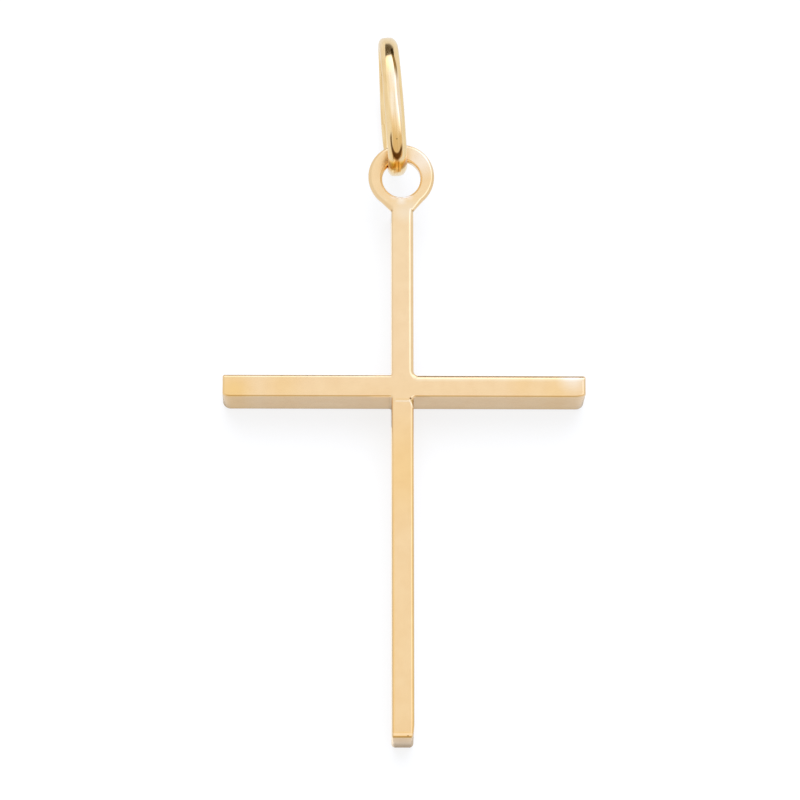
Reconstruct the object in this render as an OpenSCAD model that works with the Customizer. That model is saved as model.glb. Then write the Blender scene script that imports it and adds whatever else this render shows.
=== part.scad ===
// A gold cross pendant lying on its back, with its jump ring standing on edge.
// Origin: the middle of the crossing, on the back face that the pendant lies on.
// +X runs along the arms, +Y towards the jump ring, +Z out of the front. Millimetres.

/* [Cross] */
// Width of the stem and the arms, seen from the front
bar_w = 1.2; // [0.9:0.05:1.6]
// Depth of the stem and the arms, front to back
bar_d = 3.2; // [2.5:0.05:3.5]
// Length over both arms
span = 20; // [14:0.5:30]
// The arms' middle is soldered this far to the right of the stem's
span_off = 0.08; // [0:0.02:0.2]
// Middle of the arms to the end of the foot
leg = 19.7; // [10:0.05:32]
// Middle of the arms to the middle of the eyelet
head = 12; // [7:0.05:20]
// Rounding of the long front edges
front_r = 0.2; // [0.1:0.01:0.3]
// Rounding of the long back edges
back_r = 0.15; // [0.1:0.01:0.3]
// Rounding of the front corners at the ends of the bars
tip_r = 0.15; // [0.1:0.01:0.3]
// Rounding of the back corners at the ends of the bars
heel_r = 0.36; // [0.2:0.01:0.6]
// Fillet in the four corners where the arms meet the stem
inner_r = 0.18; // [0.1:0.01:0.6]

/* [Eyelet] */
// Outer diameter of the eyelet
eyelet_d = 3.66; // [3.4:0.02:4.2]
// Bore of the eyelet
bore_d = 2.1; // [1.9:0.02:2.3]
// The bore's middle lies this far below the eyelet's, towards the stem
bore_off = 0.16; // [0:0.02:0.2]
// Thickness of the eyelet, front to back
eyelet_t = 0.55; // [0.5:0.05:0.9]
// The eyelet is soldered on this far to the left of the stem's middle
eyelet_off = 0.06; // [0:0.02:0.2]
// Rounding of the eyelet's rims
rim_r = 0.2; // [0.1:0.01:0.24]
// The eyelet's front lies this far behind the front of the stem
eyelet_inset = 0; // [0:0.02:0.4]
// How deep the eyelet is let into the end of the stem, where it is soldered
eyelet_seat = 0.4; // [0.2:0.02:0.44]

/* [Jump ring] */
// Inner diameter of the ring
ring_id = 6.42; // [6.1:0.02:9]
// Width of the wire, which is half round on its outer side
wire_w = 1.06; // [0.8:0.02:1.16]
// How far the wire's inner side is domed
wire_dome = 0.17; // [0.08:0.01:0.3]
// How much of the round crown is worn away
wire_wear = 0.05; // [0.02:0.01:0.1]
// Radius of the worn face, across the wire
crown_r = 1.5; // [1:0.1:3]
// Turn of the ring away from the line of the stem, in degrees
ring_turn = 4.6; // [0:0.1:6]
// The ring stands this far to the left of the bore's middle
ring_side = 0.16; // [0:0.02:0.24]
// The ring is drawn up to the bore's upper wall, but for this much play
ring_gap = 0.04; // [0.03:0.01:0.3]

/* [Hidden] */
$fn = 96;
gold = [0.93, 0.79, 0.53];
bore_r = bore_d / 2;
ring_ir = ring_id / 2;
wire_r = wire_w / 2;
// Radius of the ring at the wire's widest line, and at its crown
wide_r = ring_ir + wire_dome;
ring_or = wide_r + wire_r - wire_wear;
// Radius of the dome, whose edges meet the wire's half round
dome_r = (pow(wire_r, 2) + pow(wire_dome, 2)) / (2 * wire_dome);
// Height of the eyelet's back above the surface that the cross lies on
eyelet_back = bar_d - eyelet_inset - eyelet_t;
// The wire's outer edge meets the bore this far from its middle, towards the ring
bore_reach = sqrt(pow(bore_r, 2) - pow(wire_r + ring_side, 2));
// The ring stands on the same surface, and the edge of its wire meets the eyelet's rounded back rim
rim_reach = rim_r + sqrt(pow(wide_r - rim_r, 2) - pow(ring_or - eyelet_back - rim_r, 2));
ring_away = bore_reach + rim_reach - ring_gap;
stem_top = head - eyelet_d / 2 + eyelet_seat;
stem_len = leg + stem_top;

// A rectangle that stands on the X axis, with one rounding for its lower corners and one for its upper
module rounded(w, h, low_r, high_r) {
    translate([-w / 2, low_r])
        square([w, h - low_r - high_r]);
    translate([-w / 2 + low_r, 0])
        square([w - 2 * low_r, low_r]);
    translate([-w / 2 + high_r, h - high_r])
        square([w - 2 * high_r, high_r]);
    for (side = [-1, 1]) {
        translate([side * (w / 2 - low_r), low_r])
            circle(r = low_r);
        translate([side * (w / 2 - high_r), h - high_r])
            circle(r = high_r);
    }
}

// One bar of the cross, lying along X about its middle
module bar(length) {
    intersection() {
        rotate([90, 0, 90])
            linear_extrude(length, center = true)
                rounded(bar_w, bar_d, back_r, front_r);
        rotate([90, 0, 0])
            linear_extrude(bar_w, center = true)
                rounded(length, bar_d, heel_r, tip_r);
    }
}

// The small web of metal in one inner corner of the crossing
module inner_fillet() {
    translate([bar_w / 2, bar_w / 2, back_r])
        linear_extrude(bar_d - back_r - front_r)
            difference() {
                translate([-inner_r, -inner_r])
                    square(2 * inner_r);
                translate([inner_r, inner_r])
                    circle(r = inner_r);
            }
}

// Half the section of a disc of this diameter, as thick as the eyelet, with a rounded rim
module half_disc(d) {
    intersection() {
        rounded(d, eyelet_t, rim_r, rim_r);
        square([d / 2, eyelet_t]);
    }
}

// What the bore takes out of the eyelet: a hole whose mouths flare by the rim's rounding
module bore_cut() {
    rotate_extrude()
        difference() {
            square([bore_r + rim_r, eyelet_t]);
            translate([bore_r, rim_r])
                square([rim_r, eyelet_t - 2 * rim_r]);
            for (level = [rim_r, eyelet_t - rim_r])
                translate([bore_r + rim_r, level])
                    circle(r = rim_r);
        }
}

module eyelet() {
    translate([-eyelet_off, head, eyelet_back])
        difference() {
            rotate_extrude()
                half_disc(eyelet_d);
            translate([0, -bore_off, 0])
                bore_cut();
        }
}

// Stem, arms and eyelet are soldered into one piece of metal
module cross() {
    color(gold)
        union() {
            translate([span_off, 0, 0])
                bar(span);
            translate([0, (stem_top - leg) / 2, 0])
                rotate([0, 0, 90])
                    bar(stem_len);
            for (quarter = [0:3])
                rotate([0, 0, 90 * quarter])
                    inner_fillet();
            eyelet();
        }
}

// Wire that is half round outside with a worn crown, and slightly domed inside, closed into a ring
module jump_ring() {
    color(gold)
        translate([-eyelet_off, head - bore_off, ring_or])
            rotate([0, 0, ring_turn])
                translate([-ring_side, ring_away, 0])
                    rotate([0, 90, 0])
                        rotate_extrude()
                            intersection() {
                                translate([wide_r, 0])
                                    circle(r = wire_r);
                                translate([ring_or - crown_r, 0])
                                    circle(r = crown_r);
                                translate([ring_ir + dome_r, 0])
                                    circle(r = dome_r);
                            }
}

cross();
jump_ring();
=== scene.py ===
# Looks of the gold cross pendant, lying on its back with its jump ring standing on edge.
# Metres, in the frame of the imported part: +X along the arms, +Y towards the jump ring, +Z out of the front.
from math import acos, cos, pi, radians, sin

import bmesh
import bpy
from mathutils import Matrix, Vector


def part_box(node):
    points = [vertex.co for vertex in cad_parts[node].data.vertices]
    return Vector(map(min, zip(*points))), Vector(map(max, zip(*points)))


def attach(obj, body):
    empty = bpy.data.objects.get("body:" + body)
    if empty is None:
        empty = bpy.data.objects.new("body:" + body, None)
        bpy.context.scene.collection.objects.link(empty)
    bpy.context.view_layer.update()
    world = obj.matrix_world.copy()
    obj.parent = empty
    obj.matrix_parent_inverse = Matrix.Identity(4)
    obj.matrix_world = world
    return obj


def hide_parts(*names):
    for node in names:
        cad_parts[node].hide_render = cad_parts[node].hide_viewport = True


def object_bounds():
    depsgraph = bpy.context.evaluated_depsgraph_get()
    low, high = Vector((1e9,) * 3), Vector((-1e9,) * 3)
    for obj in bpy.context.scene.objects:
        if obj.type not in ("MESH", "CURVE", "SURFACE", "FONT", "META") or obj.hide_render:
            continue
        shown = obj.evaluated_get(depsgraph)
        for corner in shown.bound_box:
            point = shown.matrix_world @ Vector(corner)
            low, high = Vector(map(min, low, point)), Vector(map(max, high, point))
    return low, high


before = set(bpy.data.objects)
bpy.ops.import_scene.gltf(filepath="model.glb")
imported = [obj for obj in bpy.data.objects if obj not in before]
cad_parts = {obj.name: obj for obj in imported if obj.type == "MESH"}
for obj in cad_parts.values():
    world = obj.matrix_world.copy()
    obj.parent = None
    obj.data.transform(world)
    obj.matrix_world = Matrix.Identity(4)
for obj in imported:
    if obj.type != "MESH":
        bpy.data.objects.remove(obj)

mm = 0.001
cadBox = [list(corner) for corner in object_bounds()]
scene = bpy.context.scene
print("frame loaded")


# Helpers for node trees

openSamples = 8     # rays that tell how open a surface is
firstStops = 2      # stops that a new colour ramp already has


def feed(tree, socket, value):
    # links a socket to another one, or sets it to a fixed value
    if isinstance(value, bpy.types.NodeSocket):
        tree.links.new(value, socket)
    else:
        socket.default_value = value


def addNode(tree, kind, options=None, **inputs):
    # inputs are socket names with underscores for blanks, or in0, in1 for a place in the list
    node = tree.nodes.new(kind)
    for name, value in (options or {}).items():
        setattr(node, name, value)
    for name, value in inputs.items():
        isPlace = name.startswith("in") and name[2:].isdigit()
        feed(tree, node.inputs[int(name[2:]) if isPlace else name.replace("_", " ")], value)
    return node


def emptyTree(owner):
    # the node tree of a new material or world
    owner.use_nodes = True
    owner.node_tree.nodes.clear()
    return owner.node_tree


def mathNode(tree, operation, *values, clamp=False):
    node = addNode(tree, "ShaderNodeMath", {"operation": operation, "use_clamp": clamp})
    for socket, value in zip(node.inputs, values):
        feed(tree, socket, value)
    return node.outputs[0]


def product(tree, *factors):
    result = factors[0] if factors else 1.0
    for factor in factors[1:]:
        result = mathNode(tree, "MULTIPLY", result, factor)
    return result


def lengthOf(tree, first, second):
    # of a line that goes this far in two directions
    squares = [mathNode(tree, "POWER", side, 2.0) for side in (first, second)]
    return mathNode(tree, "SQRT", mathNode(tree, "ADD", *squares))


def rampBetween(tree, value, low, high, toLow=0.0, toHigh=1.0):
    # a smooth step from low to high
    return addNode(tree, "ShaderNodeMapRange", {"interpolation_type": "SMOOTHSTEP"}, Value=value,
                   From_Min=low, From_Max=high, To_Min=toLow, To_Max=toHigh).outputs["Result"]


def fallBetween(tree, value, low, high):
    return rampBetween(tree, value, low, high, 1.0, 0.0)


def bandBetween(tree, value, rise, fall):
    # 1 between a rise and a fall, each given by where it begins and ends
    return product(tree, rampBetween(tree, value, *rise), fallBetween(tree, value, *fall))


def colourRamp(tree, value, stops):
    # blends from one stop to the next: a stop is a place from 0 to 1, and a colour
    node = addNode(tree, "ShaderNodeValToRGB", in0=value)
    elements = node.color_ramp.elements
    for order, (place, colour) in enumerate(stops):
        element = elements[order] if order < firstStops else elements.new(1.0)
        element.position = place
        element.color = (*colour, 1)
    return node.outputs[0]


def noise(tree, place, look, dimensions="3D"):
    # the look is its waves in a metre, its detail and its roughness
    waves, detail, roughness = look
    return addNode(tree, "ShaderNodeTexNoise", {"noise_dimensions": dimensions}, Vector=place,
                   Scale=waves, Detail=detail, Roughness=roughness).outputs[0]


def openness(tree, reach):
    # how open a surface is to what lies within this reach
    return addNode(tree, "ShaderNodeAmbientOcclusion", {"samples": openSamples}, Distance=reach).outputs["AO"]


def tinted(tree, colour, tint, *factors):
    # the colour times the tint, as far as all the factors let it through
    tint = tint if isinstance(tint, bpy.types.NodeSocket) else (*tint, 1)
    return addNode(tree, "ShaderNodeMix", {"data_type": "RGBA", "blend_type": "MULTIPLY"},
                   in0=product(tree, *factors), in6=colour, in7=tint).outputs[2]


# Helpers for meshes

def meshObject(name, mesh):
    data = bpy.data.meshes.new(name)
    bmesh.ops.recalc_face_normals(mesh, faces=mesh.faces)
    mesh.to_mesh(data)
    mesh.free()
    piece = bpy.data.objects.new(name, data)
    scene.collection.objects.link(piece)
    return piece


def loftObject(name, loops, closed=False):
    # skins a list of closed loops that have the same number of points
    mesh = bmesh.new()
    rows = [[mesh.verts.new(point) for point in loop] for loop in loops]
    pairs = list(zip(rows, rows[1:])) + ([(rows[-1], rows[0])] if closed else [])
    for low, high in pairs:
        for place in range(len(low)):
            after = (place + 1) % len(low)
            mesh.faces.new((low[place], low[after], high[after], high[place]))
    if not closed:
        mesh.faces.new(rows[0][::-1])
        mesh.faces.new(rows[-1])
    return meshObject(name, mesh)


def quarterTurn(count):
    # this many angles from 0 to a quarter turn
    return [pi / 2 * step / (count - 1) for step in range(count)]


def settle(piece):
    # turns the evaluated object into a plain mesh and drops its modifiers
    ready = piece.evaluated_get(bpy.context.evaluated_depsgraph_get())
    data = bpy.data.meshes.new_from_object(ready)
    piece.modifiers.clear()
    piece.data = data
    data.name = piece.name


# Camera: from the foot's side and a little from the left, as the pendant is seen

view = {
    "tilt": 14.0,           # degrees off straight above, towards the foot
    "aside": -1.0,          # degrees to the right
    "roll": -0.09,          # degrees
    "away": 320 * mm,
    "target": Vector((-0.154 * mm, -0.845 * mm, 3.2 * mm)),
    "pixelsPerMm": 18.182,  # at the target
    "picture": 800,         # pixels
    "sensor": 36.0,         # mm
    "sees": (0.01, 10.0),   # from and to, metres
}


def makeCamera():
    tilt, aside, roll = (radians(view[name]) for name in ("tilt", "aside", "roll"))
    toCamera = Vector((sin(aside) * cos(tilt), -sin(tilt), cos(aside) * cos(tilt))).normalized()
    right = Vector((0, 1, 0)).cross(toCamera).normalized()
    up = toCamera.cross(right)
    rolledRight = right * cos(roll) + up * sin(roll)
    rolledUp = up * cos(roll) - right * sin(roll)
    data = bpy.data.cameras.new("camera")
    data.sensor_width = view["sensor"]
    data.lens = view["pixelsPerMm"] / mm * view["away"] * view["sensor"] / view["picture"]
    data.clip_start, data.clip_end = view["sees"]
    camera = bpy.data.objects.new("camera", data)
    turn = Matrix((rolledRight, rolledUp, toCamera)).transposed().to_4x4()
    camera.matrix_world = Matrix.Translation(view["target"] + toCamera * view["away"]) @ turn
    scene.collection.objects.link(camera)
    scene.camera = camera


makeCamera()
print("camera placed")


# Gold: polished by hand, so a mirror with a faint waviness, hair scratches and a slightly uneven lustre

goldLook = {
    "crossColour": (0.89, 0.65, 0.36, 1),
    "ringColour": (0.95, 0.765, 0.485, 1),
    # waves, scratches and patches: how many in a metre, and the detail and roughness of their noise
    "waves": (420.0, 1.5, 0.4),
    "waveDepth": 0.02 * mm,
    "scratches": (9000.0, 3.0, 0.65),
    "scratchDepth": 0.0012 * mm,
    # stretch of the scratches in x, y and z: a small number along the way that the piece was rubbed
    "crossScratches": (0.5, 0.05, 0.5),
    "ringScratches": (0.5, 0.5, 0.5),
    "patches": (966.0, 4.0, 0.6),
    # the patches are warmer, and duller, as their noise goes from one value to the other
    "deepFrom": (0.2, 0.8),
    "deepTint": (0.965, 0.92, 0.86),
    "dullFrom": (0.25, 0.75),
    "roughness": (0.13, 0.20),
    # painted reflection: gold that faces gold is tinted warmer, as its openness goes from one value to the
    # other
    "creviceReach": 0.3 * mm,
    "creviceFrom": (0.7, 0.3),
    "creviceReflectionTint": (0.95, 0.70, 0.20),
}


def makeGold(piece, lightAndMarks):
    # piece is cross or ring, and the function after it lays on the tints that only this piece has: mostly
    # painted light, and a few marks in the metal
    material = bpy.data.materials.new(piece + "Gold")
    tree = emptyTree(material)
    place = addNode(tree, "ShaderNodeTexCoord").outputs["Object"]
    waves = noise(tree, place, goldLook["waves"])
    stretched = addNode(tree, "ShaderNodeMapping", Vector=place, Scale=goldLook[piece + "Scratches"])
    scratches = noise(tree, stretched.outputs[0], goldLook["scratches"])
    patches = noise(tree, place, goldLook["patches"])
    waveBump = addNode(tree, "ShaderNodeBump", Height=waves, Strength=1.0, Distance=goldLook["waveDepth"])
    scratchBump = addNode(tree, "ShaderNodeBump", Height=scratches, Strength=1.0,
                          Distance=goldLook["scratchDepth"], Normal=waveBump.outputs[0])
    rough = rampBetween(tree, patches, *goldLook["dullFrom"], *goldLook["roughness"])
    deep = rampBetween(tree, patches, *goldLook["deepFrom"])
    colour = tinted(tree, goldLook[piece + "Colour"], goldLook["deepTint"], deep)
    # painted light, and a few marks in the metal, that only this piece has
    colour = lightAndMarks(tree, place, colour)
    # painted reflection of gold in gold, warmer where it faces gold
    crevice = rampBetween(tree, openness(tree, goldLook["creviceReach"]), *goldLook["creviceFrom"])
    colour = tinted(tree, colour, goldLook["creviceReflectionTint"], crevice)
    shader = addNode(tree, "ShaderNodeBsdfPrincipled", Metallic=1.0, Roughness=rough,
                     Base_Color=colour, Normal=scratchBump.outputs[0])
    addNode(tree, "ShaderNodeOutputMaterial", Surface=shader.outputs[0])
    return material


# Cross: one outline, lofted from the back to the front, with a rounding of its own width for each edge

cross = {
    "width": 1.2 * mm,
    "depth": 3.2 * mm,
    "span": 20 * mm,
    "spanOff": 0.08 * mm,       # the arms' middle lies this far to the right
    "leg": 19.7 * mm,
    "head": 12 * mm,            # to the middle of the eyelet
    "backDrop": 0.2 * mm,       # depth of the rounding at the back
    "heel": 0.36 * mm,          # back rounding at the ends of the arms and the foot
    "backRound": 0.15 * mm,     # back rounding along the bars
    "armLow": 0.045 * mm,       # the arms' lower sides flare by this towards the front
    "leastRound": 0.01 * mm,    # to which the upright corners shrink at most
    # upright fillets in the crossing
    "innerRound": {
        "upperRight": 0.26 * mm, "upperLeft": 0.12 * mm, "lowerLeft": 0.10 * mm, "lowerRight": 0.12 * mm,
    },
    # upright corners at the ends, as they were filed, named by the edge before them, anticlockwise:
    # rounding in x and y in mm, at the front and at the back
    "cornerRound": {
        "usual": ((0.12, 0.12), (0.15, 0.15)), "armRightLow": ((0.70, 0.20), (0.40, 0.40)),
        "armRightEnd": ((0.14, 0.14), (0.20, 0.20)), "armLeftEnd": ((0.45, 0.20), (0.42, 0.40)),
        "lowerLeft": ((0.07, 0.07), (0.22, 0.22)), "footEnd": ((0.17, 0.90), (0.22, 0.22)),
    },
    # width of the front rounding on each edge in mm, as the polishing left it
    "frontRound": {
        "armRightLow": 0.12, "armRightEnd": 0.2, "armRightTop": 0.42, "upperRight": 0.3,
        "upperEnd": 0.2, "upperLeft": 0.09, "armLeftTop": 0.2, "armLeftEnd": 0.13,
        "armLeftLow": 0.12, "lowerLeft": 0.1, "footEnd": 0.12, "lowerRight": 0.18,
    },
    # and its depth in mm
    "frontDrop": {"usual": 0.17, "armRightTop": 0.28, "upperRight": 0.2},
    "pointsInCorner": 13,
    "pointsAlong": 12,
    "pointsInRound": 7,
    "pointsInFront": 13,
    "creaseFrom": 32.0,         # degrees: an edge that turns by more stays sharp
    "flatWeight": 80,           # over 50, the large faces are shaded flatter than the small ones
}

eyelet = {
    "outer": 3.66 * mm,
    "bore": 2.1 * mm,
    "boreOff": 0.16 * mm,       # towards the stem
    "off": 0.06 * mm,           # to the left of the stem
    "thick": 0.55 * mm,
    "inset": 0.0 * mm,          # of its front behind the stem's
    "outerRound": 0.2 * mm,
    "boreRound": 0.14 * mm,
    "seat": 0.4 * mm,           # how deep it is let into the end of the stem
    "pointsRound": 144,
    "pointsInRound": 8,
    # the solder behind its front
    "solderTo": 9.98 * mm,      # how far it runs down the sides of the stem
    "solderSink": 0.004 * mm,   # below the front
    "solderShare": 0.99,        # of the stem's and the eyelet's width
    "solderTop": 0.8,           # of the eyelet's radius, below its middle
    # share of its rounding by which its sides and its lower corners move in
    "solderSideIn": 0.35,
    "solderEndIn": 0.9,
}


def crossOutline(insets, height):
    # insets gives how far each edge has moved inwards at this height
    half = cross["width"] / 2
    left = cross["spanOff"] - cross["span"] / 2
    right = cross["spanOff"] + cross["span"] / 2
    top = cross["head"] - eyelet["outer"] / 2 + eyelet["seat"]
    foot = -cross["leg"]
    share = height / cross["depth"]
    low = -half - cross["armLow"] * share
    alongX = ("armRightLow", "armRightTop", "upperEnd", "armLeftTop", "armLeftLow", "footEnd")
    # x, y, edge that comes in, edge that goes out, inward signs in x and y, whether the corner sticks out
    corners = (
        (right, low, "armRightLow", "armRightEnd", -1, 1, True),
        (right, half, "armRightEnd", "armRightTop", -1, -1, True),
        (half, half, "armRightTop", "upperRight", -1, -1, False),
        (half, top, "upperRight", "upperEnd", -1, -1, True),
        (-half, top, "upperEnd", "upperLeft", 1, -1, True),
        (-half, half, "upperLeft", "armLeftTop", 1, -1, False),
        (left, half, "armLeftTop", "armLeftEnd", 1, -1, True),
        (left, low, "armLeftEnd", "armLeftLow", 1, 1, True),
        (-half, low, "armLeftLow", "lowerLeft", 1, 1, False),
        (-half, foot, "lowerLeft", "footEnd", 1, 1, True),
        (half, foot, "footEnd", "lowerRight", -1, 1, True),
        (half, low, "lowerRight", "armRightLow", -1, 1, False),
    )
    points = []
    for x, y, edgeIn, edgeOut, inX, inY, sticksOut in corners:
        # the edge that moves the corner in x, and the one that moves it in y
        edgeX, edgeY = (edgeOut, edgeIn) if edgeIn in alongX else (edgeIn, edgeOut)
        moveX, moveY = insets[edgeX], insets[edgeY]
        if sticksOut:
            rounds = zip(*cross["cornerRound"].get(edgeIn, cross["cornerRound"]["usual"]), (moveX, moveY))
            radX, radY = (max((back + (front - back) * share) * mm - move, cross["leastRound"])
                          for front, back, move in rounds)
            arc = [(x + inX * (moveX + radX - radX * cos(angle)),
                    y + inY * (moveY + radY - radY * sin(angle)))
                   for angle in quarterTurn(cross["pointsInCorner"])]
        else:
            fillet = cross["innerRound"][edgeIn if edgeIn in cross["innerRound"] else edgeOut]
            arc = [(x - inX * fillet + inX * (fillet + moveX) * cos(angle),
                    y - inY * fillet + inY * (fillet + moveY) * sin(angle))
                   for angle in quarterTurn(cross["pointsInCorner"])]
        points += arc[::-1] if edgeIn in alongX else arc
    full = []
    for place, point in enumerate(points, 1):
        full.append(Vector((*point, height)))
        if place % cross["pointsInCorner"] == 0:
            after = Vector((*points[place % len(points)], height))
            for stepsLeft in range(cross["pointsAlong"], 1, -1):
                full.append(full[-1].lerp(after, 1 / stepsLeft))
    return full


def buildBars():
    loops = []
    for angle in quarterTurn(cross["pointsInRound"]):
        insets = {}
        for edge in cross["frontRound"]:
            isHeel = edge.endswith("End") and edge != "upperEnd"
            insets[edge] = cross["heel" if isHeel else "backRound"] * (1 - sin(angle))
        loops.append(crossOutline(insets, cross["backDrop"] * (1 - cos(angle))))
    drops = cross["frontDrop"]
    for angle in quarterTurn(cross["pointsInFront"]):
        below = max(drops.values()) * (1 - sin(angle))
        insets = {}
        for edge, width in cross["frontRound"].items():
            rise = max(1 - below / drops.get(edge, drops["usual"]), 0)
            insets[edge] = width * mm * (1 - (1 - rise ** 2) ** 0.5)
        loops.append(crossOutline(insets, cross["depth"] - below * mm))
    return loftObject("bars", loops)


def buildEyelet():
    # a loft of circles: up the outside, over the front, down through the bore and back
    front = cross["depth"] - eyelet["inset"]
    back = front - eyelet["thick"]
    angles = quarterTurn(eyelet["pointsInRound"])
    turns = [2 * pi * step / eyelet["pointsRound"] for step in range(eyelet["pointsRound"])]
    off, head = eyelet["off"], cross["head"]

    def circle(radius, height, drop):
        return [Vector((radius * cos(turn) - off, radius * sin(turn) + head - drop, height))
                for turn in turns]

    outer, bore, drop = eyelet["outer"] / 2, eyelet["bore"] / 2, eyelet["boreOff"]
    wide, mouth = eyelet["outerRound"], eyelet["boreRound"]
    loops = []
    loops += [circle(outer - wide * (1 - sin(a)), back + wide * (1 - cos(a)), 0) for a in angles]
    loops += [circle(outer - wide * (1 - cos(a)), front - wide * (1 - sin(a)), 0) for a in angles]
    loops += [circle(bore + mouth * (1 - sin(a)), front - mouth * (1 - cos(a)), drop) for a in angles]
    loops += [circle(bore + mouth * (1 - cos(a)), back + mouth * (1 - sin(a)), drop) for a in angles]
    return loftObject("eyelet", loops, closed=True)


def buildSolder():
    # a plate behind the eyelet's front, between the stem's sides and the tangents to the eyelet
    front = cross["depth"] - eyelet["inset"] - eyelet["solderSink"]
    back = front - eyelet["thick"] + eyelet["outerRound"]
    middle = Vector((-eyelet["off"], cross["head"]))
    share, wide = eyelet["solderShare"], eyelet["outerRound"]

    def outline(inset):
        half = cross["width"] / 2 * share - inset * eyelet["solderSideIn"]
        radius = eyelet["outer"] / 2 * share - inset
        points = [middle + Vector((0, -radius * eyelet["solderTop"]))]
        for side in (-1, 1):
            start = Vector((side * half, eyelet["solderTo"] + inset * eyelet["solderEndIn"]))
            away = start - middle
            turn = Matrix.Rotation(side * acos(radius / away.length), 2)
            tangent = middle + turn @ (away.normalized() * radius)
            points += [tangent, start] if side < 0 else [start, tangent]
        return points

    angles = quarterTurn(eyelet["pointsInRound"])
    levels = [(back, 0.0)] + [(front - wide * (1 - sin(a)), wide * (1 - cos(a))) for a in angles]
    return loftObject("solder", [[Vector((*point, height)) for point in outline(inset)]
                                 for height, inset in levels])


def buildCross():
    piece = buildBars()
    piece.name = "cross_gold"
    for other in (buildEyelet(), buildSolder()):
        join = piece.modifiers.new("solder", "BOOLEAN")
        join.operation = "UNION"
        join.object = other
        join.solver = "EXACT"
        settle(piece)
        bpy.data.objects.remove(other)
    soften = piece.modifiers.new("lustre", "WEIGHTED_NORMAL")
    soften.keep_sharp = True
    soften.weight = cross["flatWeight"]
    for polygon in piece.data.polygons:
        polygon.use_smooth = True
    piece.data.set_sharp_from_angle(angle=radians(cross["creaseFrom"]))
    settle(piece)
    return piece


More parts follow.
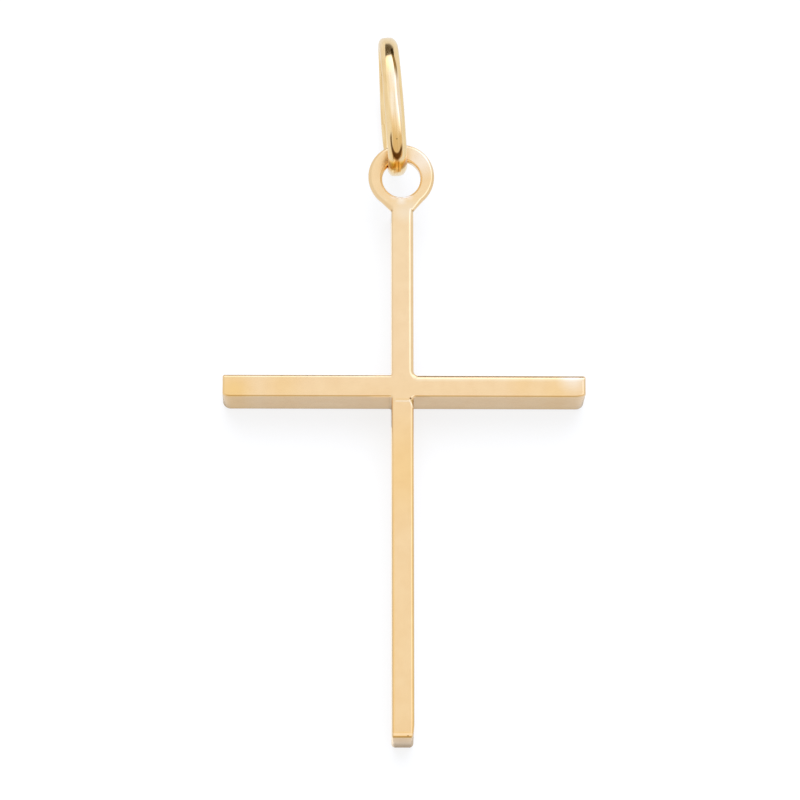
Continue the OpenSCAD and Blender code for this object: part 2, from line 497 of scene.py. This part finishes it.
# tints by place on the cross: where a note says no more, a pair is where a tint begins and where it is full
# nearly all of these tints are painted light: highlights, shade and reflections on the mirror gold; the nicks
# are marks in the metal
crossTints = {
    # painted reflection from the foot to the eyelet, paler on the upper stem and warmer at the foot: y in mm
    # and the tint there
    "along": ((-20, (0.99, 0.95, 0.90)), (-15, (1.0, 0.985, 0.97)), (-2, (1.0, 1.0, 1.03)),
              (2, (1.0, 1.02, 1.12)), (9, (1.0, 1.04, 1.15)), (10.5, (1.0, 1.01, 1.04)),
              (20, (1.0, 1.01, 1.04))),
    "alongReach": 20,           # mm, both ways from the middle
    # soft spots of painted light and shade: x, y and radius in mm, and the tint
    "spots": (
        # the eyelet: a painted highlight on its right, and a painted golden reflection and shade where it
        # meets the ring
        (1.1, 12.9, 1.3, (1.05, 1.22, 1.7)), (-1.0, 13.0, 0.9, (1.0, 0.97, 0.92)),
        (-0.2, 12.95, 0.85, (0.86, 0.62, 0.18)), (0.15, 12.6, 0.4, (0.72, 0.66, 0.35)),
        (-0.8, 12.6, 0.35, (0.85, 0.80, 0.55)),
        # the solder and the eyelet's lower edge: a painted highlight, with painted shade in the corner on
        # each side of the stem
        (0.15, 10.0, 1.0, (1.0, 1.09, 1.30)), (-0.06, 10.62, 0.42, (1.06, 1.20, 1.55)),
        (-0.5, 10.78, 0.3, (1.05, 1.15, 1.45)), (0.4, 10.78, 0.3, (1.05, 1.15, 1.45)),
        (-0.62, 9.98, 0.12, (0.55, 0.46, 0.28)), (0.62, 9.98, 0.12, (0.55, 0.46, 0.28)),
        # the arms: a painted highlight at the right end, and painted warmer reflections towards both ends
        (9.3, 0.3, 1.0, (1.05, 1.20, 1.60)), (-9.3, -0.3, 1.5, (0.99, 0.92, 0.68)),
        (-6.6, 0.0, 1.5, (0.99, 0.95, 0.83)), (8.4, -0.4, 1.6, (1.0, 0.97, 0.86)),
        (6.6, 0.0, 1.2, (1.0, 0.97, 0.88)),
        # the stem below the crossing: a painted warmer reflection
        (0.0, -4.7, 4.4, (1.0, 0.95, 0.80)),
    ),
    # the bore's wall has a painted highlight, paler up to the ring: how far from the wall, how soft, and y
    # where it ends
    "wallReach": 0.13 * mm,
    "wallFade": 0.07 * mm,
    "wallTo": (12.1 * mm, 12.5 * mm),
    "wallHighlightTint": (1.08, 1.32, 1.95),
    # the tints below, painted light and nicks, reach this far down the sides from the front, and those right
    # at an edge less far
    "frontDown": 0.3 * mm,
    "roundingDown": 0.13 * mm,
    "fine": 0.04 * mm,          # over which the fine lines fade
    # towards the foot a painted reflection makes the front warmer along the edges: how far aside from the
    # middle, and how far down
    "rim": (0.40 * mm, 0.52 * mm),
    "rimFrom": (4 * mm, 9 * mm),
    "foot": (19.35 * mm, 19.45 * mm),
    "rimReflectionTint": (1.02, 0.97, 0.82),
    # and a painted dark reflection right at the edges
    "sideEdge": (0.545 * mm, 0.595 * mm),
    "footEdge": (19.61 * mm, 19.66 * mm),
    "darkEdgeReflectionTint": (0.61, 0.60, 0.50),
    # a painted highlight line just above the foot's edge, and a painted dark reflection as a brown line along
    # the arms' lower edges: y from and to
    "footLine": (-19.60 * mm, -19.44 * mm),
    "footHighlightTint": (1.08, 1.17, 1.48),
    "armLine": (-0.67 * mm, -0.57 * mm),
    "armLineFrom": (0.64 * mm, 0.76 * mm),
    "armDarkReflectionTint": (0.80, 0.80, 0.77),
    # the seam below the crossing, shown as a painted highlight and painted shade: its y, from where to where
    # in x, the pale lip under it and the line over it
    "seam": -0.83 * mm,
    "seamX": (-0.42 * mm, 0.38 * mm),
    "lip": 0.14 * mm,
    "lipHighlightTint": (1.03, 1.14, 1.36),
    "line": 0.08 * mm,
    "lineTint": (0.95, 0.90, 0.72),
    # the edge that curls out from the seam's right end, a painted highlight: x at its start and end, y where
    # it ends, half its width, and how far beyond it a painted shade begins
    "curl": (0.38 * mm, 0.55 * mm),
    "curlTo": -1.3 * mm,
    "curlHalf": 0.06 * mm,
    "curlHighlightTint": (1.08, 1.22, 1.55),
    "behindCurl": (0.04 * mm, 0.08 * mm),
    "behindCurlShadeTint": (0.62, 0.56, 0.40),
    # nicks, where the curl starts and at the foot: x, y and radius
    "nicks": ((0.43 * mm, -0.75 * mm, 0.075 * mm), (0.25 * mm, -19.6 * mm, 0.045 * mm)),
    "nickTint": (0.30, 0.20, 0.10),
}


def crossLightAndMarks(tree, place, colour):
    # painted light on the cross, by place: highlights, shade and reflections; only the nicks are marks in the
    # metal
    flat = addNode(tree, "ShaderNodeVectorMath", {"operation": "MULTIPLY"}, in0=place,
                   in1=(1, 1, 0)).outputs[0]
    parts = addNode(tree, "ShaderNodeSeparateXYZ", Vector=place)
    x, y, z = (parts.outputs[name] for name in ("X", "Y", "Z"))
    aside, down = mathNode(tree, "ABSOLUTE", x), product(tree, y, -1.0)
    onFront, onRounding = (mathNode(tree, "GREATER_THAN", z, cross["depth"] - crossTints[name])
                           for name in ("frontDown", "roundingDown"))
    fine = crossTints["fine"]

    def nearTo(point, size, fade):
        away = addNode(tree, "ShaderNodeVectorMath", {"operation": "DISTANCE"}, in0=flat, in1=point)
        return fallBetween(tree, away.outputs["Value"], size - fade, size)

    def within(value, low, high):
        return bandBetween(tree, value, (low, low + fine), (high - fine, high))

    # painted reflection along the stem, from the foot to the eyelet
    reach = crossTints["alongReach"]
    share = mathNode(tree, "MULTIPLY_ADD", y, 1 / (2 * reach * mm), 0.5)
    colour = tinted(tree, colour, colourRamp(tree, share, [
        ((height + reach) / (2 * reach), tint) for height, tint in crossTints["along"]]))
    # painted highlights, shade and reflections in soft spots
    for spotX, spotY, radius, tint in crossTints["spots"]:
        colour = tinted(tree, colour, tint, nearTo((spotX * mm, spotY * mm, 0), radius * mm, radius * mm))

    # painted highlight on the bore's wall, up to the ring
    bore = nearTo((-eyelet["off"], cross["head"] - eyelet["boreOff"], 0),
                  eyelet["bore"] / 2 + crossTints["wallReach"], crossTints["wallFade"])
    colour = tinted(tree, colour, crossTints["wallHighlightTint"], bore, fallBetween(tree, y, *crossTints["wallTo"]))

    # painted reflection: warmer along the edges towards the foot
    towardsFoot = rampBetween(tree, down, *crossTints["rimFrom"])
    rim = product(tree, rampBetween(tree, aside, *crossTints["rim"]), towardsFoot)
    rim = mathNode(tree, "MAXIMUM", rim, rampBetween(tree, down, *crossTints["foot"]))
    colour = tinted(tree, colour, crossTints["rimReflectionTint"], onFront, rim)
    # painted dark reflection right at the edges
    edge = product(tree, rampBetween(tree, aside, *crossTints["sideEdge"]), towardsFoot)
    edge = mathNode(tree, "MAXIMUM", edge, rampBetween(tree, down, *crossTints["footEdge"]))
    colour = tinted(tree, colour, crossTints["darkEdgeReflectionTint"], onRounding, edge)
    # painted highlight above the foot's edge, and a painted dark reflection along the arms' lower edges
    colour = tinted(tree, colour, crossTints["footHighlightTint"], onFront, within(y, *crossTints["footLine"]))
    onArm = rampBetween(tree, aside, *crossTints["armLineFrom"])
    armLine = product(tree, within(y, *crossTints["armLine"]), onArm)
    colour = tinted(tree, colour, crossTints["armDarkReflectionTint"], onRounding, armLine)

    # the seam, drawn with a painted highlight on its lip and painted shade on the line over it
    seam = crossTints["seam"]
    atSeam = product(tree, onFront, within(x, *crossTints["seamX"]))
    colour = tinted(tree, colour, crossTints["lipHighlightTint"], atSeam, within(y, seam - crossTints["lip"], seam))
    colour = tinted(tree, colour, crossTints["lineTint"], atSeam, within(y, seam, seam + crossTints["line"]))
    # painted highlight along the curling edge, and painted shade beyond it
    curl = rampBetween(tree, down, -seam, -crossTints["curlTo"], *crossTints["curl"])
    past = mathNode(tree, "SUBTRACT", x, curl)
    below = product(tree, onFront, within(y, crossTints["curlTo"], seam + fine))
    half = crossTints["curlHalf"]
    colour = tinted(tree, colour, crossTints["curlHighlightTint"], below, within(past, -half, half))
    behind = rampBetween(tree, past, *crossTints["behindCurl"])
    colour = tinted(tree, colour, crossTints["behindCurlShadeTint"], below, behind)
    for nickX, nickY, size in crossTints["nicks"]:
        nick = nearTo((nickX, nickY, 0), size, size / 2)
        colour = tinted(tree, colour, crossTints["nickTint"], onFront, nick)
    return colour


crossPiece = buildCross()
crossPiece.data.materials.clear()
crossPiece.data.materials.append(makeGold("cross", crossLightAndMarks))
print("cross built:", len(crossPiece.data.polygons), "faces")


# Jump ring: half-round wire with a worn crown, swept round a circle by Geometry Nodes

ring = {
    "Wire Width": 1.06 * mm,
    "Inner Dome": 0.17 * mm,
    "Crown Height": 0.48 * mm,      # above the wire's widest line
    "Crown Radius": 1.5 * mm,       # of the worn face across the wire
    "Crease Softness": 0.03 * mm,
    "Lean": 0.09 * mm,              # of the worn face, to the left
    "Lean Back": 0.5 * mm,          # and back by a quarter of this, half way from its top to its ends
    "Tilt": 0.06 * mm,              # the ring's upper side stands this far to the left
    "Bow": 0.14 * mm,               # and its lower side is bent this far to the left
    "Bow Aside": 0.6,               # more towards the eyelet, and less away from it
    "Steps Round": 240,
    "Steps Of Wire": 96,
    "Turn": radians(4.6),
}


def ringTree():
    tree = bpy.data.node_groups.new("halfRoundRing", "GeometryNodeTree")
    kinds = {name: "Int" if isinstance(value, int) else "Float" for name, value in ring.items()}
    kinds.update({"Outer Radius": "Float", "Middle": "Vector", "Material": "Material"})
    sockets = {name: tree.interface.new_socket(name=name, in_out="INPUT", socket_type="NodeSocket" + kind)
               for name, kind in kinds.items()}
    tree.interface.new_socket(name="Geometry", in_out="OUTPUT", socket_type="NodeSocketGeometry")
    given = addNode(tree, "NodeGroupInput").outputs
    wireRadius = mathNode(tree, "DIVIDE", given["Wire Width"], 2.0)
    middleRadius = mathNode(tree, "SUBTRACT", given["Outer Radius"], given["Crown Height"])
    path, wire = (addNode(tree, "GeometryNodeCurvePrimitiveCircle", Resolution=given[steps], Radius=radius)
                  for steps, radius in (("Steps Round", middleRadius), ("Steps Of Wire", wireRadius)))
    # the round wire's section is pressed to a low dome towards the ring's middle, and worn on the other side
    where = addNode(tree, "GeometryNodeInputPosition").outputs[0]
    parts = addNode(tree, "ShaderNodeSeparateXYZ", Vector=where).outputs
    pressed = product(tree, mathNode(tree, "MINIMUM", parts["X"], 0.0),
                      mathNode(tree, "DIVIDE", given["Inner Dome"], wireRadius))
    domed = mathNode(tree, "ADD", mathNode(tree, "MAXIMUM", parts["X"], 0.0), pressed)
    fall = mathNode(tree, "DIVIDE", mathNode(tree, "POWER", parts["Y"], 2.0),
                    product(tree, given["Crown Radius"], 2.0))
    worn = mathNode(tree, "SMOOTH_MIN", domed, mathNode(tree, "SUBTRACT", given["Crown Height"], fall),
                    given["Crease Softness"])
    flattened = addNode(tree, "ShaderNodeCombineXYZ", X=worn, Y=parts["Y"])
    section = addNode(tree, "GeometryNodeSetPosition", Geometry=wire.outputs["Curve"],
                      Position=flattened.outputs[0])
    swept = addNode(tree, "GeometryNodeCurveToMesh", Curve=path.outputs["Curve"],
                    Profile_Curve=section.outputs[0])
    # stands the ring on edge, leans its face, tilts and bows it, turns it and puts it in its place
    standing = addNode(tree, "GeometryNodeTransform", Geometry=swept.outputs[0], Rotation=(0, pi / 2, 0))
    where = addNode(tree, "GeometryNodeInputPosition").outputs[0]
    parts = addNode(tree, "ShaderNodeSeparateXYZ", Vector=where).outputs
    across, slope = (mathNode(tree, "DIVIDE", parts[axis], given["Outer Radius"]) for axis in ("Y", "Z"))
    beyond = mathNode(tree, "SUBTRACT", lengthOf(tree, parts["Y"], parts["Z"]), middleRadius)
    share = mathNode(tree, "DIVIDE", mathNode(tree, "MAXIMUM", beyond, 0.0), given["Crown Height"])
    halfWay = mathNode(tree, "POWER", product(tree, across, slope), 2.0)
    lean = mathNode(tree, "SUBTRACT", product(tree, halfWay, given["Lean Back"]), given["Lean"])
    tilt = product(tree, slope, given["Tilt"])
    under = mathNode(tree, "POWER", mathNode(tree, "MINIMUM", slope, 0.0), 2.0)
    bow = product(tree, under, given["Bow"],
                  mathNode(tree, "SUBTRACT", 1.0, product(tree, across, given["Bow Aside"])))
    moved = mathNode(tree, "SUBTRACT", product(tree, share, lean), mathNode(tree, "ADD", tilt, bow))
    aside = addNode(tree, "ShaderNodeCombineXYZ", X=moved)
    upright = addNode(tree, "GeometryNodeSetPosition", Geometry=standing.outputs[0], Offset=aside.outputs[0])
    turned = addNode(tree, "ShaderNodeCombineXYZ", Z=given["Turn"])
    placed = addNode(tree, "GeometryNodeTransform", Geometry=upright.outputs[0], Rotation=turned.outputs[0],
                     Translation=given["Middle"])
    smooth = addNode(tree, "GeometryNodeSetShadeSmooth", Geometry=placed.outputs[0])
    real = addNode(tree, "GeometryNodeRealizeInstances", Geometry=smooth.outputs[0])
    gold = addNode(tree, "GeometryNodeSetMaterial", Geometry=real.outputs[0], Material=given["Material"])
    addNode(tree, "NodeGroupOutput", Geometry=gold.outputs[0])
    return tree, sockets


def buildRing():
    low, high = (Vector(corner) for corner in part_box("jump_ring"))
    data = bpy.data.meshes.new("jump_ring_gold")
    piece = bpy.data.objects.new("jump_ring_gold", data)
    scene.collection.objects.link(piece)
    modifier = piece.modifiers.new("ring", "NODES")
    modifier.node_group, sockets = ringTree()
    values = dict(ring)
    values.update({"Outer Radius": (high.z - low.z) / 2, "Middle": (low + high) / 2,
                   "Material": makeGold("ring", ringLightAndMarks)})
    for name, value in values.items():
        modifier[sockets[name].identifier] = value
    settle(piece)
    return piece


# tints by place on the ring: angles are degrees from its top towards the eyelet, and the rest is mm across
# the wire, from its middle to the right. A pair is where a tint begins and where it is full, or the other way
# round for one that ends, and two pairs are a rise and a fall.
# nearly all of these tints are painted light, reflections and highlights on the mirror gold; the streaks and
# the pit are marks in the metal
ringLightAndMarkTints = {
    # the dark marks are the painted dark reflections and the pit
    "upperFrom": (0.0, 0.5 * mm),           # height over its middle, from which the dark marks show
    # fine streaks: how many in a metre across the wire, and the detail and roughness of their noise
    "streaks": (5200.0, 2.0, 0.6),
    "streakFrom": (0.42, 0.72),
    "streakSlide": 0.7 * mm,                # half a turn of the ring counts as this, so that they are long
    "streakTint": (0.91, 0.85, 0.74),
    # painted reflections, warmer on its left and on the right flank, and a painted highlight, paler, on top
    # of the crown
    "leftTo": (-0.32, 0.22),
    "leftReflectionTint": (1.0, 0.965, 0.86),
    "flank": (0.28, 0.34),
    "flankReflectionTint": (1.01, 0.98, 0.84),
    "crown": ((-20.0, -8.0), (20.0, 34.0)),
    "crownSide": (-0.34, -0.24),
    "crownHighlightTint": (1.03, 1.08, 1.28),
    # a painted dark reflection, a U between the creases: its middle, and half its height and width outside
    # and inside
    "darkMiddle": (45.0, -0.07),
    "darkOuter": (21.5, 0.33),
    "darkInner": (13.0, 0.25),
    "darkFade": 0.1,                        # share of its size
    # where its left and its right side begin, and the degrees over which they do
    "darkLeftFrom": 38.0,
    "darkRightFrom": 49.0,
    "darkBegins": (-2.0, 6.0),
    "darkReflectionTint": (0.17, 0.10, 0.04),
    # a painted dark reflection, a tail down the right crease from the top: place aside, half its width, how
    # far it bends and where
    "tail": ((-42.0, -38.0), (-20.5, -3.0)),
    "tailAside": 0.19,
    "tailHalf": (0.05, 0.10),
    "tailBend": 0.10,
    "tailBends": (-38.0, -3.0),
    "tailReflectionTint": (0.22, 0.16, 0.06),
    # a tiny pit in the crown: its angle and place across, and its radius
    "pit": (44.0, -0.04),
    "pitRadius": (0.03, 0.06),
    "pitTint": (0.50, 0.50, 0.42),
    # a painted warm reflection on the stretch below the U
    "warm": ((66.0, 71.0), (84.0, 89.0)),
    "warmReflectionTint": (1.0, 0.76, 0.28),
    # on its sides the painted reflection is olive, and then no longer warm
    "sidesFrom": (0.08, 0.20),
    "olive": ((69.0, 73.0), (80.0, 84.0)),
    "oliveReflectionTint": (0.58, 0.49, 0.07),
    "paleFrom": (79.0, 83.0),
    # and a painted dark reflection runs down its middle as a fine line
    "lineHalf": (0.025, 0.05),
    "lineTint": (0.66, 0.55, 0.22),
}


def ringLightAndMarks(tree, place, colour):
    # painted light on the ring, by place: reflections and highlights; only the streaks and the pit are marks
    # in the metal
    low, high = (Vector(corner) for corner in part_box("jump_ring"))
    moved = addNode(tree, "ShaderNodeVectorMath", {"operation": "SUBTRACT"}, in0=place, in1=(low + high) / 2)
    turned = addNode(tree, "ShaderNodeVectorRotate", {"rotation_type": "Z_AXIS"}, Vector=moved.outputs[0],
                     Angle=-ring["Turn"])
    parts = addNode(tree, "ShaderNodeSeparateXYZ", Vector=turned.outputs[0])
    x, y, z = (parts.outputs[name] for name in ("X", "Y", "Z"))
    across = mathNode(tree, "DIVIDE", x, mm)
    around = product(tree, mathNode(tree, "ARCTAN2", product(tree, y, -1.0), z), 180 / pi)
    upper = rampBetween(tree, z, *ringLightAndMarkTints["upperFrom"])

    slid = addNode(tree, "ShaderNodeCombineXYZ", X=x, Y=product(tree, around, ringLightAndMarkTints["streakSlide"] / 180))
    streaks = noise(tree, slid.outputs[0], ringLightAndMarkTints["streaks"], "2D")
    streaks = rampBetween(tree, streaks, *ringLightAndMarkTints["streakFrom"])
    colour = tinted(tree, colour, ringLightAndMarkTints["streakTint"], streaks)
    # painted reflections on the left and on the right flank, and a painted highlight on the crown
    onFlank = rampBetween(tree, across, *ringLightAndMarkTints["flank"])
    onCrown = mathNode(tree, "SUBTRACT", rampBetween(tree, across, *ringLightAndMarkTints["crownSide"]), onFlank,
                       clamp=True)
    onTop = bandBetween(tree, around, *ringLightAndMarkTints["crown"])
    colour = tinted(tree, colour, ringLightAndMarkTints["leftReflectionTint"], fallBetween(tree, across, *ringLightAndMarkTints["leftTo"]))
    colour = tinted(tree, colour, ringLightAndMarkTints["flankReflectionTint"], onFlank)
    colour = tinted(tree, colour, ringLightAndMarkTints["crownHighlightTint"], onCrown, onTop)

    # painted dark reflection in a U between the creases
    angle, side = ringLightAndMarkTints["darkMiddle"]
    down, aside = mathNode(tree, "SUBTRACT", around, angle), mathNode(tree, "SUBTRACT", across, side)

    def ellipse(tall, broad):
        radius = lengthOf(tree, mathNode(tree, "DIVIDE", down, tall), mathNode(tree, "DIVIDE", aside, broad))
        return fallBetween(tree, radius, 1.0 - ringLightAndMarkTints["darkFade"], 1.0 + ringLightAndMarkTints["darkFade"])

    reflectedU = mathNode(tree, "SUBTRACT", ellipse(*ringLightAndMarkTints["darkOuter"]), ellipse(*ringLightAndMarkTints["darkInner"]),
                     clamp=True)
    leftFrom, rightFrom = ringLightAndMarkTints["darkLeftFrom"], ringLightAndMarkTints["darkRightFrom"]
    onLeft = mathNode(tree, "LESS_THAN", aside, 0.0)
    start = mathNode(tree, "MULTIPLY_ADD", onLeft, leftFrom - rightFrom, rightFrom)
    begun = rampBetween(tree, mathNode(tree, "SUBTRACT", around, start), *ringLightAndMarkTints["darkBegins"])
    colour = tinted(tree, colour, ringLightAndMarkTints["darkReflectionTint"], upper, reflectedU, begun)

    # painted dark reflection as a tail down the right crease
    bend = mathNode(tree, "POWER", fallBetween(tree, around, *ringLightAndMarkTints["tailBends"]), 2.0)
    bent = mathNode(tree, "MULTIPLY_ADD", bend, ringLightAndMarkTints["tailBend"], across)
    fromTail = mathNode(tree, "ABSOLUTE", mathNode(tree, "SUBTRACT", bent, ringLightAndMarkTints["tailAside"]))
    tail = product(tree, fallBetween(tree, fromTail, *ringLightAndMarkTints["tailHalf"]),
                   bandBetween(tree, around, *ringLightAndMarkTints["tail"]))
    colour = tinted(tree, colour, ringLightAndMarkTints["tailReflectionTint"], upper, tail)
    angle, side = ringLightAndMarkTints["pit"]
    pitDown = product(tree, mathNode(tree, "SUBTRACT", around, angle), radians((high.z - low.z) / 2 / mm))
    fromPit = lengthOf(tree, pitDown, mathNode(tree, "SUBTRACT", across, side))
    pit = fallBetween(tree, fromPit, *ringLightAndMarkTints["pitRadius"])
    colour = tinted(tree, colour, ringLightAndMarkTints["pitTint"], upper, pit)

    # painted reflections below the U: warm, olive on the sides, and a fine dark line down the middle
    fromMiddle = mathNode(tree, "ABSOLUTE", across)
    onSides = rampBetween(tree, fromMiddle, *ringLightAndMarkTints["sidesFrom"])
    pale = product(tree, onSides, rampBetween(tree, around, *ringLightAndMarkTints["paleFrom"]))
    warm = product(tree, bandBetween(tree, around, *ringLightAndMarkTints["warm"]), mathNode(tree, "SUBTRACT", 1.0, pale))
    olive = bandBetween(tree, around, *ringLightAndMarkTints["olive"])
    colour = tinted(tree, colour, ringLightAndMarkTints["warmReflectionTint"], warm)
    colour = tinted(tree, colour, ringLightAndMarkTints["oliveReflectionTint"], olive, onSides)
    line = fallBetween(tree, fromMiddle, *ringLightAndMarkTints["lineHalf"])
    return tinted(tree, colour, ringLightAndMarkTints["lineTint"], warm, line)


ringPiece = buildRing()
print("jump ring built:", len(ringPiece.data.polygons), "faces")


# Floor: a plain white surface, just under the part

floorLook = {
    "size": 1.2,                        # side, metres
    "near": 1.0 * mm,                   # the strip of it beside the cross that shows in reflections
    "level": -0.02 * mm,
    "nearLevel": -0.01 * mm,
    "colour": (0.15, 0.155, 0.165, 1),
    "glow": (0.79, 0.79, 0.79, 1),      # as a light table's, which fills the shadows
    "nearColour": (0.16, 0.155, 0.145, 1),
    "nearGlow": (0.565, 0.545, 0.51, 1),
    "leftGlow": (0.98, 0.95, 0.86, 1),  # left of the stem, where the floor is brightest
    # painted shade: the strip's glow darkens near the gold
    "nearReach": 0.22 * mm,             # how near to the gold the strip darkens, and how much
    "nearShade": 0.5,
}


def floorMaterial(name, colour, glow, reach=None):
    # with a reach, its glow darkens that near to the gold, a painted shade
    material = bpy.data.materials.new(name)
    tree = emptyTree(material)
    dark = floorLook["nearShade"]
    strength = mathNode(tree, "MULTIPLY_ADD", openness(tree, reach), dark, 1 - dark) if reach else 1.0
    shader = addNode(tree, "ShaderNodeBsdfDiffuse", Color=colour)
    light = addNode(tree, "ShaderNodeEmission", Color=glow, Strength=strength)
    both = addNode(tree, "ShaderNodeAddShader", in0=shader.outputs[0], in1=light.outputs[0])
    addNode(tree, "ShaderNodeOutputMaterial", Surface=both.outputs[0])
    return material


def makeFloor(name, west, east, south, north, level, material):
    mesh = bmesh.new()
    corners = ((west, south), (east, south), (east, north), (west, north))
    mesh.faces.new([mesh.verts.new((x, y, level)) for x, y in corners])
    piece = meshObject(name, mesh)
    piece.data.materials.append(material)
    return piece


def nearStrips():
    # x from and to, y from and to, and how much the strip glows
    (left, foot, _), (right, _, _) = cadBox
    near, half = floorLook["near"], cross["width"] / 2
    edge, top = half + near, cross["head"] - eyelet["outer"] / 2
    glow, leftGlow = floorLook["nearGlow"], floorLook["leftGlow"]
    return (
        (left - near, right + near, -edge, half, glow),     # at the arms
        (0, edge, foot, -edge, glow),                       # right of the stem
        (0, edge, half, top, glow),
        (-edge, 0, foot, -edge, leftGlow),                  # left of it
        (-edge, 0, half, top, leftGlow),
        (-edge, edge, foot - near, foot, glow),             # at the foot
    )


wide = floorLook["size"] / 2
floor = makeFloor("floor", -wide, wide, -wide, wide, floorLook["level"],
                  floorMaterial("floorWhite", floorLook["colour"], floorLook["glow"]))
floor.visible_glossy = False
floor.visible_diffuse = False
for place, (west, east, south, north, glow) in enumerate(nearStrips()):
    material = floorMaterial(f"nearWhite{place}", floorLook["nearColour"], glow, floorLook["nearReach"])
    strip = makeFloor(f"nearFloor{place}", west, east, south, north, floorLook["nearLevel"], material)
    strip.visible_camera = False
    strip.visible_diffuse = False
    strip.visible_shadow = False
print("floor laid")


# Light: a white tent, brightest low behind the ring, with a dark gap over the floor behind.
# A direction is told by its angle along the stem (0 behind, 90 overhead, 180 in front) and by its x.

tent = {
    "seam": -90.0,              # straight below, where the list of the walls begins and ends
    # angle along the stem, and colour of the tent there
    "walls": (
        (-90, (0.90, 0.90, 0.88)), (8, (0.90, 0.90, 0.88)), (11, (1.9, 1.9, 2.1)),
        (24, (1.9, 1.95, 2.3)), (36, (1.4, 1.5, 1.8)), (50, (1.10, 1.20, 1.40)),
        (65, (1.05, 1.11, 1.22)), (76, (1.04, 1.04, 1.05)), (84, (1.02, 1.10, 1.25)),
        (95, (1.04, 1.12, 1.28)), (112, (1.02, 1.07, 1.16)), (127, (1.02, 0.97, 0.93)),
        (142, (0.94, 0.86, 0.73)), (158, (0.81, 0.68, 0.46)), (188, (0.78, 0.64, 0.42)),
        (192, (0.90, 0.90, 0.88)), (270, (0.90, 0.90, 0.88)),
    ),
    # the walls on the left and on the right, and x over which the others pass into them
    "leftWall": (0.92, 0.92, 0.92),
    "leftEdge": (-0.5, -0.2),
    "rightWall": (0.90, 0.90, 0.90),
    "rightEdge": (0.62, 0.74),
    # a strip of light on the right, which adds to the wall
    "strip": (0.36, 0.46, 0.70),
    "stripX": (0.3, 0.62),
    "stripAlong": (44.0, 150.0),
    "stripSoft": 9.0,           # degrees over which it fades
    "softX": 0.08,              # x over which the strip and the gap fade
    "gap": (0.12, 0.10, 0.065),
    "gapSoft": 3.0,             # degrees over which it fades
    # the gap goes from one angle to another, with an arched lower edge, and further up on its right
    "gapAlong": (-26.0, 9.5),
    "gapX": (-0.45, 0.66),
    "gapArch": 340.0,           # degrees at an x of 1 from its middle
    "gapArchMiddle": -0.12,
    "gapRise": 20.0,            # degrees
    "gapRiseX": (0.1, 0.3),
}


def makeTent():
    world = bpy.data.worlds.new("tent")
    scene.world = world
    tree = emptyTree(world)
    direction = addNode(tree, "ShaderNodeTexCoord").outputs["Generated"]
    parts = addNode(tree, "ShaderNodeSeparateXYZ", Vector=direction)
    x, y, z = (parts.outputs[name] for name in ("X", "Y", "Z"))
    seam, turn = tent["seam"], 360.0
    turned = mathNode(tree, "MULTIPLY_ADD", mathNode(tree, "ARCTAN2", z, y), 180 / pi, -seam)
    share = mathNode(tree, "DIVIDE", mathNode(tree, "FLOORED_MODULO", turned, turn), turn)
    along = mathNode(tree, "MULTIPLY_ADD", share, turn, seam)

    def band(value, limits, fade):
        # half of each fade lies outside the limits
        return bandBetween(tree, value, *((limit - fade / 2, limit + fade / 2) for limit in limits))

    def mixColours(factor, first, second):
        return addNode(tree, "ShaderNodeMix", {"data_type": "RGBA"}, in0=factor, in6=first,
                       in7=(*second, 1)).outputs[2]

    lit = colourRamp(tree, share, [((angle - seam) / turn, colour) for angle, colour in tent["walls"]])
    lit = mixColours(fallBetween(tree, x, *tent["leftEdge"]), lit, tent["leftWall"])
    lit = mixColours(rampBetween(tree, x, *tent["rightEdge"]), lit, tent["rightWall"])
    strip = product(tree, band(x, tent["stripX"], tent["softX"]),
                    band(along, tent["stripAlong"], tent["stripSoft"]))

    low, high = tent["gapAlong"]
    fromMiddle = mathNode(tree, "SUBTRACT", x, tent["gapArchMiddle"])
    arch = product(tree, mathNode(tree, "POWER", fromMiddle, 2.0), tent["gapArch"])
    opened = rampBetween(tree, mathNode(tree, "SUBTRACT", along, arch), low, low + tent["gapSoft"])
    rise = rampBetween(tree, x, *tent["gapRiseX"], 0.0, tent["gapRise"])
    closed = fallBetween(tree, mathNode(tree, "SUBTRACT", along, rise), high, high + tent["gapSoft"])
    gap = product(tree, opened, closed, band(x, tent["gapX"], tent["softX"]))

    around = addNode(tree, "ShaderNodeBackground", Color=mixColours(gap, lit, tent["gap"]), Strength=1.0)
    added = addNode(tree, "ShaderNodeBackground", Color=(*tent["strip"], 1), Strength=strip)
    both = addNode(tree, "ShaderNodeAddShader", in0=around.outputs[0], in1=added.outputs[0])
    addNode(tree, "ShaderNodeOutputWorld", Surface=both.outputs[0])


makeTent()

lamp = {
    "height": 58.0,     # degrees over the floor, from behind
    "softness": 50.0,   # degrees
    "strength": 2.9,
}


def makeLamp():
    # reaches the floor only: the gold mirrors the tent
    data = bpy.data.lights.new("lamp", "SUN")
    data.energy = lamp["strength"]
    data.angle = radians(lamp["softness"])
    piece = bpy.data.objects.new("lamp", data)
    piece.rotation_euler = (radians(lamp["height"] - 90), 0, 0)
    piece.visible_glossy = False
    scene.collection.objects.link(piece)


makeLamp()
scene.view_settings.view_transform = "Standard"
print("light set")


# Hand over: each piece rides on the part's one body and stands for its solid

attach(crossPiece, "root")
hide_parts("cross")
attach(ringPiece, "root")
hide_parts("jump_ring")

print("pieces handed over")
